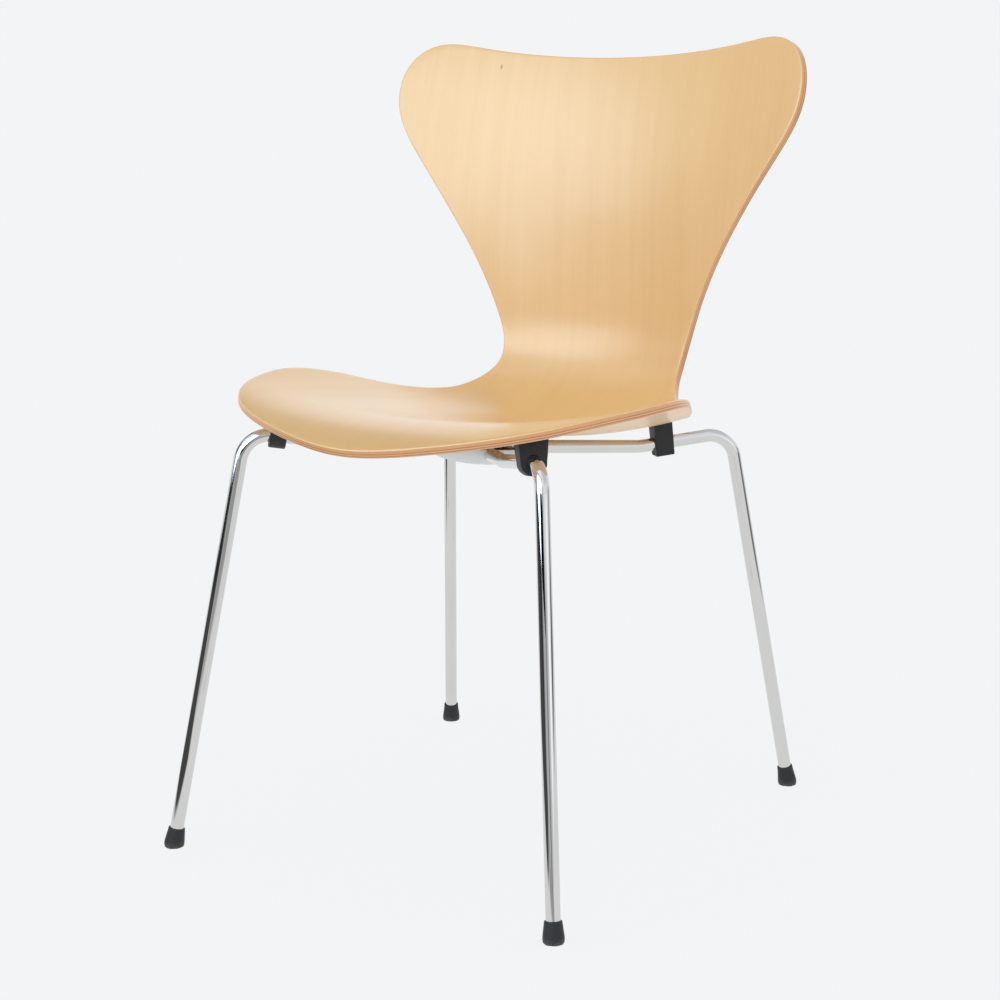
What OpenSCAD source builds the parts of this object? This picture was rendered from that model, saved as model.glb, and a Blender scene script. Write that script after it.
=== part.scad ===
// Stacking chair: a moulded plywood shell on a bent steel tube frame.
// Millimetres. +Z is up, the sitter faces -Y, and the floor is at z = 0.
// Left and right are the sitter's own: left is +X.

/* [Shell] */
// Thickness of the laminated plywood
shell_t = 9; // [7:0.5:11]
// Height of the shell's front edge above the floor
seat_h = 431; // [428:1:436]
// Largest half width of the seat
seat_half_w = 238; // [225:1:245]
// Half width of the narrow waist between the seat and the back
waist_half_w = 110; // [95:1:125]
// Largest half width of the back
back_half_w = 256; // [240:1:265]
// Slope of the centre line at the front edge, in degrees
front_slope = 30; // [25:1:34]
// How far the seat turns down behind its front roll, in degrees
roll_turn = -40; // [-43:1:-37]
// How far the rear of the seat turns up, in degrees
scoop_turn = 40; // [36:1:44]
// How far the tight bend at the waist turns up, in degrees
waist_turn = 60; // [55:1:65]
// How far the upper back leans away, in degrees
lean_turn = -21; // [-26:1:-14]

/* [Frame] */
// Outside diameter of the leg tube
tube_d = 14; // [12:0.5:14]
// Wall of the leg tube
tube_wall = 2; // [1.5:0.1:2.5]
// Centre-line radius of the bend at the top of each leg
leg_bend_r = 30; // [26:1:32]
// Half the distance between the two front feet, and between the two rear feet
foot_x = 228; // [220:1:236]
// Half the distance between the front feet and the rear feet
foot_y = 255; // [245:1:262]
// Height of the tube's axis at the centre of the frame
hub_h = 401.5; // [398:0.5:404]

/* [Fittings] */
// Height of a foot along its leg
foot_h = 20; // [18:1:26]
// Radius of a foot near the floor
foot_r = 10.3; // [9.5:0.1:12]
// Length of a rear bumper along its tube
bumper_len = 20; // [16:1:22]
// Radius of the cover over the frame's centre
cover_r = 63; // [60:1:68]
// Diameter of the frame screws
screw_d = 6; // [5:0.5:6]

/* [Hidden] */
$fn = 64;

wood = "burlywood";
steel = "silver";
black = "dimgray";
grey = "gainsboro";
brass = "goldenrod";

// ---- Shell surface ----
// s runs along the centre line from the front edge to the top, t runs sideways.
// Each bend turns the centre line smoothly: [start, length, turn in degrees].
shell_front_y = -263;
bends = [
    [-60, 225, roll_turn],
    [280, 230, scoop_turn],
    [432, 128, waist_turn],
    [640, 238, lean_turn]
];
// Sideways the surface is a parabola, sag_k * t * t, towards the sitter.
// Each step changes sag_k smoothly: [start, length, change].
sag_start = 0.00012;
sag_steps = [
    [-24, 354, 0.0008],
    [406, 73, 0.00054],
    [520, 271, -0.00067]
];
// Half outline of the shell, [t, s], as the control points of a B-spline.
front_s = -2;
top_s = 839;
outline = [
    [0.35 * seat_half_w, 24],
    [0.60 * seat_half_w, 50],
    [0.815 * seat_half_w, 84],
    [0.955 * seat_half_w, 140],
    [1.015 * seat_half_w, 214],
    [0.93 * seat_half_w, 272],
    [0.785 * seat_half_w, 348],
    [waist_half_w + 41, 397],
    [waist_half_w, 463],
    [waist_half_w + 4, 535],
    [0.605 * back_half_w, 631],
    [0.835 * back_half_w, 717],
    [back_half_w, 768],
    [0.97 * back_half_w, 826],
    [0.815 * back_half_w, 853],
    [0.61 * back_half_w, 844]
];
rows_per_span = 4;
columns = 10;
step_s = 5;
end_s = 880;

// ---- Frame ----
tube_r = tube_d / 2;
tube_bore_r = tube_r - tube_wall;
bend_step = 9;
tube_sides = 24;
kink_r = 60;
apex_r = 30;
hub_y = -16.5;
hub_slope = 0.056;
hub_tilt = atan(hub_slope);
front_corner = [174, -189, 427];
front_kink = [75, -98];
front_apex = [0, -28];
rear_corner = [181, 187, 406];
rear_kink = [111, 113];
rear_apex = [0, -5];

// ---- Centre fittings, in the tilted frame of the hub ----
plate_bottom = tube_r;
plate_t = 3;
plate_top = plate_bottom + plate_t;
plate_r = 54;
plate_scallop_r = 20;
plate_scallop_at = plate_r + 8;
block_r = 49;
block_h = 40;
trough_sides = 360;
screw_places = [[30, 0], [-30, 0], [0, -39], [0, 39]];
screw_r = screw_d / 2;
screw_clear = 0.3;
insert_r = screw_r + 1.5;
insert_h = 5.5;
insert_rim_r = insert_r + 1.2;
insert_rim_t = 0.8;
washer_r = screw_r + 2.8;
washer_t = 1.2;
head_r = screw_r + 2.4;
head_h = 3.2;
socket_r = 2.2;
socket_depth = 2;
glue_gap = 0.05;
cover_wall = 2;
cover_depth = 16.2;
cover_rim_z = 5;
cover_rim_edge = 1;
cover_angle_step = 10;
cover_slot_r = tube_r + 0.8;
cover_ring_r = 40;
cover_ring_sink = 0.5;

// ---- Feet ----
foot_top_r = tube_r + 1.3;
foot_base_t = 4.5;
disc_t = 1.5;
disc_r = tube_r - 0.1;
// Rounded lower end of a foot: [step in from foot_r, height above the leg's end].
foot_curve = [[-3.3, -4], [-1.4, -1.6], [-0.3, 0.8], [0, 3.4], [-0.2, 6]];
foot_lip = 0.8;
foot_cut = 30;

// ---- Bumpers ----
front_bumper_len = 0.83 * bumper_len;
front_bumper_at = 33;
front_bumper_w = 30;
rear_bumper_at = 77;
rear_bumper_w = 19;
rear_bumper_low_w = 18;
bumper_wall = 5.5;
bumper_drop = 13;
bumper_shoulder = 2;
bumper_bulge = 0.4;
bumper_reach = 45;
bumper_slit = 2.5;
bumper_clear = 0.6;
bumper_cut = 120;

near_vertical = 0.99;
epsilon = 0.01;
// How far a cut runs past the face that it goes through.
over = 1;

// ---- Vector helpers ----
function unit(v) = v / norm(v);
function mirror_x(p) = [-p[0], p[1], p[2]];
function clamp01(u) = min(1, max(0, u));
function smooth(u) = clamp01(u) * clamp01(u) * (3 - 2 * clamp01(u));
function smooth_rate(u) = 6 * clamp01(u) * (1 - clamp01(u));
function sum(list, i = 0) = i < len(list) ? list[i] + sum(list, i + 1) : 0;

// Moves +Z onto a direction, with the origin at a point.
module along(origin, dir) {
    z = unit(dir);
    side = abs(z[2]) > near_vertical ? [1, 0, 0] : [0, 0, 1];
    x = unit(cross(side, z));
    y = cross(z, x);
    multmatrix([
        [x[0], y[0], z[0], origin[0]],
        [x[1], y[1], z[1], origin[1]],
        [x[2], y[2], z[2], origin[2]],
        [0, 0, 0, 1]
    ]) children();
}

// ---- Shell functions ----
function slope(s) =
    front_slope + sum([for (b = bends) b[2] * smooth((s - b[0]) / b[1])]);
function slope_rate(s) =
    sum([for (b = bends) b[2] * smooth_rate((s - b[0]) / b[1]) / b[1]]) * PI / 180;
function sag_k(s) = sag_start + sum([for (b = sag_steps) b[2] * smooth((s - b[0]) / b[1])]);
function sag_rate(s) = sum([for (b = sag_steps) b[2] * smooth_rate((s - b[0]) / b[1]) / b[1]]);
function forward(s) = [0, cos(slope(s)), sin(slope(s))];
function upward(s) = [0, -sin(slope(s)), cos(slope(s))];

// The centre line, added up step by step from the front edge.
centre_line = [
    for (i = 0, p = [0, shell_front_y, seat_h];
        i <= end_s / step_s;
        p = p + step_s * forward((i + 0.5) * step_s), i = i + 1) p
];
function centre(s) =
    let (i = floor(s / step_s), rest = s - i * step_s)
    centre_line[i] + rest * forward(i * step_s + rest / 2);
function shell_point(s, t) = centre(s) + [t, 0, 0] + sag_k(s) * t * t * upward(s);
function shell_normal(s, t) =
    let (
        k = sag_k(s),
        a = 1 - slope_rate(s) * k * t * t,
        b = sag_rate(s) * t * t
    )
    unit(a * upward(s) - b * forward(s) - [2 * k * t * a, 0, 0]);
function underside_point(s, t) = shell_point(s, t) - shell_t * shell_normal(s, t);

// Distance along the centre line at which the underside reaches y, by halving.
function s_at_y(y, t, lo = 60, hi = 420, n = 14) =
    n == 0 ? (lo + hi) / 2
    : underside_point((lo + hi) / 2, t)[1] < y ? s_at_y(y, t, (lo + hi) / 2, hi, n - 1)
    : s_at_y(y, t, lo, (lo + hi) / 2, n - 1);

// ---- Outline ----
function flip(p) = [-p[0], p[1]];
control = concat(
    [flip(outline[0]), [0, front_s]],
    outline,
    [[0, top_s], flip(outline[len(outline) - 1])]
);
spans = len(control) - 3;
function spline(i, u) = (
    pow(1 - u, 3) * control[i]
    + (3 * pow(u, 3) - 6 * u * u + 4) * control[i + 1]
    + (-3 * pow(u, 3) + 3 * u * u + 3 * u + 1) * control[i + 2]
    + pow(u, 3) * control[i + 3]
) / 6;
rim = [
    for (i = [0 : spans - 1], j = [0 : rows_per_span - 1]) spline(i, j / rows_per_span),
    spline(spans - 1, 1)
];
last = len(rim) - 1;
function spine_s(i) = rim[0][1] + (rim[last][1] - rim[0][1]) * i / last;

// One row of the sheet, from the right edge to the left edge.
function sheet_row(i) = [
    for (j = [-columns : columns])
        let (f = j / columns, s = spine_s(i) + (rim[i][1] - spine_s(i)) * f * f)
        [s, rim[i][0] * f]
];
sheet = [for (i = [1 : last - 1], p = sheet_row(i)) p];
across = 2 * columns + 1;
tips = [[rim[0][1], 0], [rim[last][1], 0]];
nodes_top = concat(sheet, tips);
shell_points = concat(
    [for (p = nodes_top) shell_point(p[0], p[1])],
    [for (p = nodes_top) underside_point(p[0], p[1])]
);
face_size = len(nodes_top);
front_tip = len(sheet);
top_tip = front_tip + 1;
last_row = (last - 2) * across;

// Triangles of the upper face, then the same ones turned over for the underside.
upper_faces = concat(
    [for (i = [0 : last - 3], j = [0 : across - 2])
        let (a = i * across + j, b = a + across) each [[a, b, b + 1], [a, b + 1, a + 1]]],
    [for (j = [0 : across - 2]) [front_tip, j, j + 1]],
    [for (j = [0 : across - 2]) [top_tip, last_row + j + 1, last_row + j]]
);
under_faces = [for (f = upper_faces) [f[2], f[1], f[0]] + face_size * [1, 1, 1]];
border = concat(
    [front_tip],
    [for (i = [0 : last - 2]) i * across + across - 1],
    [top_tip],
    [for (i = [last - 2 : -1 : 0]) i * across]
);
edge_faces = [
    for (i = [0 : len(border) - 1])
        let (a = border[i], b = border[(i + 1) % len(border)])
        each [[a, b, b + face_size], [a, b + face_size, a + face_size]]
];

module seat_shell() {
    color(wood)
        polyhedron(
            points = shell_points,
            faces = concat(upper_faces, under_faces, edge_faces),
            convexity = 10
        );
}

// ---- Tube frame ----
function hub_z(y) = hub_h - hub_slope * (y - hub_y);
function on_hub(p) = [p[0], p[1], hub_z(p[1])];
front_foot = [foot_x, -foot_y, 0];
rear_foot = [foot_x, foot_y, 0];
function leg_start(foot, corner) = foot + (foot_base_t + disc_t) * unit(corner - foot);
function half_path(foot, corner, kink) = [leg_start(foot, corner), corner, on_hub(kink)];
function reversed(list) = [for (i = [len(list) - 1 : -1 : 0]) list[i]];
function tube_path(foot, corner, kink, apex) =
    let (half = half_path(foot, corner, kink))
    concat(half, [on_hub(apex)], [for (p = reversed(half)) mirror_x(p)]);
front_path = tube_path(front_foot, front_corner, front_kink, front_apex);
rear_path = tube_path(rear_foot, rear_corner, rear_kink, rear_apex);
bend_radii = [0, leg_bend_r, kink_r, apex_r, kink_r, leg_bend_r, 0];

function dir_in(path, i) = unit(path[i] - path[i - 1]);
function dir_out(path, i) = unit(path[i + 1] - path[i]);
function turn_at(path, i) = acos(dir_in(path, i) * dir_out(path, i));
function trim_at(path, i) =
    i == 0 || i == len(path) - 1 ? 0 : bend_radii[i] * tan(turn_at(path, i) / 2);

// Cross sections along a path, [place, direction]: the ends, and steps round each bend.
function bend_places(path, i) =
    let (
        in = dir_in(path, i),
        out = dir_out(path, i),
        inward = unit(out - (in * out) * in),
        r = bend_radii[i],
        middle = path[i] - in * trim_at(path, i) + r * inward,
        turn = turn_at(path, i),
        steps = ceil(turn / bend_step)
    )
    [for (j = [0 : steps])
        let (a = turn * j / steps)
        [middle - r * cos(a) * inward + r * sin(a) * in, cos(a) * in + sin(a) * inward]];
function places(path) =
    let (end = len(path) - 1)
    concat(
        [[path[0], dir_out(path, 0)]],
        [for (i = [1 : end - 1]) each bend_places(path, i)],
        [[path[end], dir_in(path, end)]]
    );

// A side vector carried along the path without twisting.
function square_to(v, dir) = unit(v - (v * dir) * dir);
function sides(list) = [
    for (i = 0, v = square_to([1, 0, 0], list[0][1]);
        i < len(list);
        i = i + 1, v = i < len(list) ? square_to(v, list[i][1]) : v) v
];
function tube_rings(list, side, r) = [
    for (i = [0 : len(list) - 1], j = [0 : tube_sides - 1])
        let (a = 360 * j / tube_sides)
        list[i][0] + r * (cos(a) * side[i] + sin(a) * cross(list[i][1], side[i]))
];
function wall_faces(rings, from) = [
    for (i = [0 : rings - 2], j = [0 : tube_sides - 1])
        let (
            a = from + i * tube_sides + j,
            b = from + i * tube_sides + (j + 1) % tube_sides
        )
        each [[a, a + tube_sides, b + tube_sides], [a, b + tube_sides, b]]
];
function end_faces(outer, inner) = [
    for (j = [0 : tube_sides - 1])
        let (k = (j + 1) % tube_sides)
        each [[outer + j, outer + k, inner + k], [outer + j, inner + k, inner + j]]
];
function turned(faces) = [for (f = faces) [f[2], f[1], f[0]]];

// One bent steel tube, hollow and open at both ends.
module leg_tube(path) {
    list = places(path);
    side = sides(list);
    count = len(list) * tube_sides;
    last_ring = count - tube_sides;
    color(steel)
        polyhedron(
            points = concat(
                tube_rings(list, side, tube_r),
                tube_rings(list, side, tube_bore_r)
            ),
            faces = concat(
                wall_faces(len(list), 0),
                turned(wall_faces(len(list), count)),
                end_faces(0, count),
                turned(end_faces(last_ring, count + last_ring))
            ),
            convexity = 10
        );
}

module tube_bend(path, i) {
    in = dir_in(path, i);
    out = dir_out(path, i);
    inward = unit(out - (in * out) * in);
    r = bend_radii[i];
    middle = path[i] - in * trim_at(path, i) + r * inward;
    x = -inward;
    z = cross(x, in);
    multmatrix([
        [x[0], in[0], z[0], middle[0]],
        [x[1], in[1], z[1], middle[1]],
        [x[2], in[2], z[2], middle[2]],
        [0, 0, 0, 1]
    ])
        rotate_extrude(angle = turn_at(path, i)) translate([r, 0]) circle(tube_r);
}

module tube_straight(path, i) {
    dir = dir_out(path, i);
    length = norm(path[i + 1] - path[i]) - trim_at(path, i) - trim_at(path, i + 1);
    along(path[i] + dir * trim_at(path, i), dir) cylinder(r = tube_r, h = length);
}

// The room a tube takes up, for cutting: straights a to b, with the bends between them.
module tube_room(path, a, b) {
    for (i = [a : b]) tube_straight(path, i);
    for (i = [a + 1 : b]) tube_bend(path, i);
}

module front_leg_tube() {
    leg_tube(front_path);
}

module rear_leg_tube() {
    leg_tube(rear_path);
}

// ---- Centre fittings ----
module on_hub_frame() {
    translate([0, hub_y, hub_h]) rotate([-hub_tilt, 0, 0]) children();
}

module at_screws() {
    for (p = screw_places) translate([p[0], p[1], 0]) children();
}

// Steel plate lying on the two tubes, which are welded to its underside.
module hub_plate() {
    color(steel)
        on_hub_frame()
            translate([0, 0, plate_bottom])
                difference() {
                    cylinder(r = plate_r, h = plate_t);
                    for (a = [45 : 90 : 315])
                        rotate([0, 0, a])
                            translate([plate_scallop_at, 0, -over])
                                cylinder(r = plate_scallop_r, h = plate_t + 2 * over);
                    translate([0, 0, -over]) at_screws()
                        cylinder(r = screw_r + screw_clear, h = plate_t + 2 * over);
                }
}

// Plywood pad glued under the seat, shaped to the shell above and the plate below.
module mounting_block() {
    s = s_at_y(hub_y, 0);
    n = shell_normal(s, 0);
    trough_r = 1 / (2 * sag_k(s)) + shell_t + glue_gap;
    trough_axis = underside_point(s, 0) + (trough_r - glue_gap) * n;
    reach = 2 * block_r;
    color(wood)
        difference() {
            on_hub_frame()
                translate([0, 0, plate_top])
                    difference() {
                        cylinder(r = block_r, h = block_h);
                        translate([0, 0, -over]) at_screws()
                            cylinder(r = insert_r, h = insert_h + over);
                        translate([0, 0, -epsilon]) at_screws()
                            cylinder(r = insert_rim_r, h = insert_rim_t + epsilon);
                    }
            along(trough_axis - reach * forward(s), forward(s))
                cylinder(r = trough_r, h = 2 * reach, $fn = trough_sides);
        }
}

module threaded_inserts() {
    color(brass)
        on_hub_frame()
            translate([0, 0, plate_top]) at_screws()
                difference() {
                    union() {
                        cylinder(r = insert_r, h = insert_h);
                        cylinder(r = insert_rim_r, h = insert_rim_t);
                    }
                    translate([0, 0, -over]) cylinder(r = screw_r, h = insert_h + 2 * over);
                }
}

module frame_screws() {
    color(steel)
        on_hub_frame()
            at_screws() {
                head_top = plate_bottom - washer_t;
                difference() {
                    translate([0, 0, head_top - head_h]) cylinder(r = head_r, h = head_h);
                    translate([0, 0, head_top - head_h - over])
                        cylinder(r = socket_r, h = socket_depth + over, $fn = 6);
                }
                translate([0, 0, head_top])
                    cylinder(r = screw_r, h = plate_top + insert_h - head_top);
            }
}

module lock_washers() {
    color(steel)
        on_hub_frame()
            translate([0, 0, plate_bottom - washer_t]) at_screws()
                difference() {
                    cylinder(r = washer_r, h = washer_t);
                    translate([0, 0, -over]) cylinder(r = screw_r, h = washer_t + 2 * over);
                }
}

// A slot for one tube, open at the top so that the cover pushes on from below.
module cover_slot(path, i) {
    dir = dir_out(path, i);
    length = norm(path[i + 1] - path[i]);
    along(path[i], dir)
        linear_extrude(length)
            union() {
                circle(cover_slot_r);
                translate([-cover_slot_r, 0]) square([2 * cover_slot_r, 2 * cover_slot_r]);
            }
}

// Shallow moulded dish that hides the centre of the frame from below.
module cover_profile(inset) {
    wall_r = cover_r - inset;
    middle_z = cover_rim_z - cover_rim_edge;
    rise = cover_depth + middle_z - inset;
    polygon(concat(
        [for (a = [0 : cover_angle_step : 90]) [wall_r * sin(a), middle_z - rise * cos(a)]],
        [[wall_r, cover_rim_z + inset], [0, cover_rim_z + inset]]
    ));
}

module base_cover() {
    ring_z = -cover_depth + cover_wall - cover_ring_sink;
    color(grey)
        difference() {
            on_hub_frame() {
                difference() {
                    rotate_extrude() cover_profile(0);
                    rotate_extrude() cover_profile(cover_wall);
                }
                translate([0, 0, ring_z])
                    difference() {
                        cylinder(r = cover_ring_r, h = -tube_r - ring_z);
                        translate([0, 0, -over])
                            cylinder(r = cover_ring_r - cover_wall, h = cover_depth);
                    }
            }
            for (path = [front_path, rear_path]) {
                cover_slot(path, 2);
                cover_slot(reversed(path), 2);
            }
        }
}

// ---- Feet ----
// Tapered plastic ferrule pushed over the end of a leg and cut flat at the floor.
module foot(place, corner) {
    color(black)
        difference() {
            along(place, corner - place)
                difference() {
                    rotate_extrude()
                        polygon(concat(
                            [[0, foot_curve[0][1]]],
                            [for (c = foot_curve) [foot_r + c[0], c[1]]],
                            [
                                [foot_top_r, foot_h - foot_lip],
                                [foot_top_r - foot_lip, foot_h],
                                [0, foot_h]
                            ]
                        ));
                    translate([0, 0, foot_base_t]) cylinder(r = tube_r, h = foot_h);
                }
            translate([place[0] - foot_cut, place[1] - foot_cut, -foot_cut])
                cube([2 * foot_cut, 2 * foot_cut, foot_cut]);
        }
}

module foot_disc(place, corner) {
    along(place, corner - place)
        translate([0, 0, foot_base_t]) cylinder(r = disc_r, h = disc_t);
}

// Steel discs that keep the tube ends from cutting through the feet.
module foot_discs() {
    color(steel) {
        foot_disc(front_foot, front_corner);
        foot_disc(mirror_x(front_foot), mirror_x(front_corner));
        foot_disc(rear_foot, rear_corner);
        foot_disc(mirror_x(rear_foot), mirror_x(rear_corner));
    }
}

// ---- Bumpers ----
// Plastic block on a sloping tube, between the tube and the underside of the shell.
// It is long along the tube; top_w and low_w are its widths above and beside the tube.
module bumper(path, at, long, top_w, low_w, round_bottom) {
    corner = path[1];
    inward = unit(path[2] - corner);
    centre_at = corner + at * inward;
    s = s_at_y(centre_at[1], centre_at[0]);
    n = shell_normal(s, centre_at[0]);
    top = underside_point(s, centre_at[0]) - bumper_clear * n;
    low = round_bottom ? -bumper_shoulder : -bumper_drop;
    shoulder = round_bottom ? low : low + bumper_shoulder;
    color(black)
        difference() {
            along(centre_at - long / 2 * inward, inward)
                linear_extrude(long)
                    difference() {
                        union() {
                            polygon([
                                [-low_w / 2, shoulder],
                                [-low_w / 2 + bumper_shoulder, low],
                                [low_w / 2 - bumper_shoulder, low],
                                [low_w / 2, shoulder],
                                [top_w / 2, bumper_reach / 2],
                                [top_w / 2, bumper_reach],
                                [-top_w / 2, bumper_reach],
                                [-top_w / 2, bumper_reach / 2]
                            ]);
                            if (round_bottom) circle(low_w / 2 + bumper_bulge);
                        }
                        translate([-bumper_slit / 2, -bumper_reach])
                            square([bumper_slit, bumper_reach]);
                    }
            tube_room(path, 0, 1);
            along(top, n) translate([-bumper_cut / 2, -bumper_cut / 2, 0]) cube(bumper_cut);
        }
}

module front_bumper() {
    width = tube_d + 2 * bumper_wall;
    bumper(front_path, front_bumper_at, front_bumper_len, front_bumper_w, width, true);
}

module rear_bumper() {
    bumper(rear_path, rear_bumper_at, bumper_len, rear_bumper_w, rear_bumper_low_w, false);
}

seat_shell();
mounting_block();
threaded_inserts();
hub_plate();
front_leg_tube();
rear_leg_tube();
frame_screws();
lock_washers();
base_cover();
front_bumper();  // bumper_front_left
mirror([1, 0, 0]) front_bumper();  // bumper_front_right
rear_bumper();  // bumper_rear_left
mirror([1, 0, 0]) rear_bumper();  // bumper_rear_right
foot(front_foot, front_corner);  // foot_front_left
foot(mirror_x(front_foot), mirror_x(front_corner));  // foot_front_right
foot(rear_foot, rear_corner);  // foot_rear_left
foot(mirror_x(rear_foot), mirror_x(rear_corner));  // foot_rear_right
foot_discs();
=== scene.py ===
import math

import bpy
import numpy as np
from mathutils import Matrix, Vector


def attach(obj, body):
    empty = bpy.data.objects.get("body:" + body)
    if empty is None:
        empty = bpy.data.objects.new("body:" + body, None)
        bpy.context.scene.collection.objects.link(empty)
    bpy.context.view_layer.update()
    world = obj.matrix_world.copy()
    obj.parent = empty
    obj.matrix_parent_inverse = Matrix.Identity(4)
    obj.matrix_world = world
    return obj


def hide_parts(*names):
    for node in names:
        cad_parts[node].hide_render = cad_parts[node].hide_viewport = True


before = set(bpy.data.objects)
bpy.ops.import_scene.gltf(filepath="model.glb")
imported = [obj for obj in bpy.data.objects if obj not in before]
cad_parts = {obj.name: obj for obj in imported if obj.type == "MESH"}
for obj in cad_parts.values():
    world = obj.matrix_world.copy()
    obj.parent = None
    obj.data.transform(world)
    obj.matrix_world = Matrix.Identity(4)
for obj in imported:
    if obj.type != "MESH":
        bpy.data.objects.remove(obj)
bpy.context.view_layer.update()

MM = 0.001

# ---------------------------------------------------------------------------
# The shell's surface, in millimetres. s runs along the centre line from the
# front edge to the top, and t runs sideways. The centre line turns by BENDS,
# each (start, length, degrees). Across it the shell is a parabola, whose
# factor changes by SAG_STEPS, each (start, length, change).
# ---------------------------------------------------------------------------
SHELL_T = 9.0
FRONT_Y = -263.0
SEAT_H = 431.0
SEAT_HALF = 238.0
WAIST_HALF = 110.0
BACK_HALF = 256.0
FRONT_SLOPE = 30.0
BENDS = ((-60, 225, -40), (280, 230, 40), (432, 128, 60), (640, 238, -21))
SAG_START = 0.00012
SAG_STEPS = ((-24, 354, 0.0008), (406, 73, 0.00054), (520, 271, -0.00067))
FRONT_S = -2.0
TOP_S = 839.0
HALF_OUTLINE = (
    (0.35 * SEAT_HALF, 24), (0.60 * SEAT_HALF, 50), (0.815 * SEAT_HALF, 84),
    (0.955 * SEAT_HALF, 140), (1.015 * SEAT_HALF, 214), (0.93 * SEAT_HALF, 272),
    (0.785 * SEAT_HALF, 348), (WAIST_HALF + 41, 397), (WAIST_HALF, 463),
    (WAIST_HALF + 4, 535), (0.605 * BACK_HALF, 631), (0.835 * BACK_HALF, 717),
    (BACK_HALF, 768), (0.97 * BACK_HALF, 826), (0.815 * BACK_HALF, 853),
    (0.61 * BACK_HALF, 844),
)
STEP_S = 5.0
END_S = 900.0


def smooth(u):
    """Rises from 0 to 1 with level ends."""
    u = np.clip(u, 0, 1)
    return u * u * (3 - 2 * u)


def smooth_rate(u):
    """How fast smooth() rises."""
    u = np.clip(u, 0, 1)
    return 6 * u * (1 - u)


def slope(s):
    """The centre line's slope in radians."""
    return np.radians(FRONT_SLOPE + sum(b[2] * smooth((s - b[0]) / b[1]) for b in BENDS))


def slope_rate(s):
    return np.radians(sum(b[2] * smooth_rate((s - b[0]) / b[1]) / b[1] for b in BENDS))


def sag(s):
    """Factor of the parabola across the shell: it rises by sag * t * t at the sides."""
    return SAG_START + sum(b[2] * smooth((s - b[0]) / b[1]) for b in SAG_STEPS)


def sag_rate(s):
    return sum(b[2] * smooth_rate((s - b[0]) / b[1]) / b[1] for b in SAG_STEPS)


CELL_SLOPES = slope(np.arange(0, END_S, STEP_S) + STEP_S / 2)
LINE_Y = FRONT_Y + np.concatenate([[0], np.cumsum(np.cos(CELL_SLOPES) * STEP_S)])
LINE_Z = SEAT_H + np.concatenate([[0], np.cumsum(np.sin(CELL_SLOPES) * STEP_S)])


def surface(s, t, off=0.0):
    """Points of the sitter's face, moved off along the normal, and the normals."""
    s, t = np.asarray(s, float), np.asarray(t, float)
    cell = np.clip(np.floor(s / STEP_S).astype(int), 0, len(LINE_Y) - 1)
    rest = s - cell * STEP_S
    middle = slope(cell * STEP_S + rest / 2)
    y = LINE_Y[cell] + rest * np.cos(middle)
    z = LINE_Z[cell] + rest * np.sin(middle)
    turn, factor = slope(s), sag(s)
    rise = factor * t * t
    along = 1 - slope_rate(s) * rise
    climb = sag_rate(s) * t * t
    normal = np.stack([
        -2 * factor * t * along,
        -along * np.sin(turn) - climb * np.cos(turn),
        along * np.cos(turn) - climb * np.sin(turn),
    ], -1)
    normal /= np.linalg.norm(normal, axis=-1, keepdims=True)
    point = np.stack([t, y - np.sin(turn) * rise, z + np.cos(turn) * rise], -1)
    return point + off * normal, normal


def half_rim(per_span):
    """Half outline [t, s] from the front to the top: a uniform cubic B-spline."""
    (first_t, first_s), (final_t, final_s) = HALF_OUTLINE[0], HALF_OUTLINE[-1]
    control = np.array([(-first_t, first_s), (0, FRONT_S), *HALF_OUTLINE,
                        (0, TOP_S), (-final_t, final_s)], float)
    found = []
    for i in range(len(control) - 3):
        p = control[i:i + 4]
        for u in np.arange(per_span) / per_span:
            found.append(((1 - u) ** 3 * p[0] + (3 * u ** 3 - 6 * u * u + 4) * p[1]
                          + (-3 * u ** 3 + 3 * u * u + 3 * u + 1) * p[2] + u ** 3 * p[3]) / 6)
    found.append((control[-3] + 4 * control[-2] + control[-1]) / 6)
    return np.array(found)


# ---------------------------------------------------------------------------
# Mesh helpers
# ---------------------------------------------------------------------------
def plain_mesh(name, points_mm, faces):
    """An object in the scene from points in millimetres."""
    mesh = bpy.data.meshes.new(name)
    points = (np.asarray(points_mm, float) * MM).tolist()
    mesh.from_pydata(points, [], [list(map(int, face)) for face in faces])
    mesh.validate()
    mesh.update()
    made = bpy.data.objects.new(name, mesh)
    bpy.context.scene.collection.objects.link(made)
    return made


def shade_smooth(mesh, sharp_angle=None):
    """Smooth shading, apart from edges that turn by more than the angle in degrees."""
    for polygon in mesh.polygons:
        polygon.use_smooth = True
    if sharp_angle is not None:
        mesh.set_sharp_from_angle(angle=math.radians(sharp_angle))


def make_piece(name, points_mm, faces, material, sharp_angle=None):
    """A piece of the chair from points in millimetres. All pieces ride on its one body."""
    piece = plain_mesh(name, points_mm, faces)
    piece.data.materials.append(material)
    shade_smooth(piece.data, sharp_angle)
    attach(piece, "root")
    return piece


def ring_numbers(index, sides, start=0):
    """Point numbers of one ring, where rings of the same size follow each other."""
    return start + index * sides + np.arange(sides)


def band(first, second):
    """Quads between two closed rings of point numbers."""
    count = len(first)
    return [(first[k], first[(k + 1) % count], second[(k + 1) % count], second[k])
            for k in range(count)]


def bands(rings):
    """Quads between each ring and the next."""
    return [quad for pair in zip(rings[:-1], rings[1:]) for quad in band(*pair)]


def unit(v):
    v = np.asarray(v, float)
    return v / np.linalg.norm(v)


def arc(radius, start, stop, steps):
    """Points (x, y) on a circle between two angles in degrees."""
    return [(radius * math.cos(math.radians(a)), radius * math.sin(math.radians(a)))
            for a in np.linspace(start, stop, steps + 1)]


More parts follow.
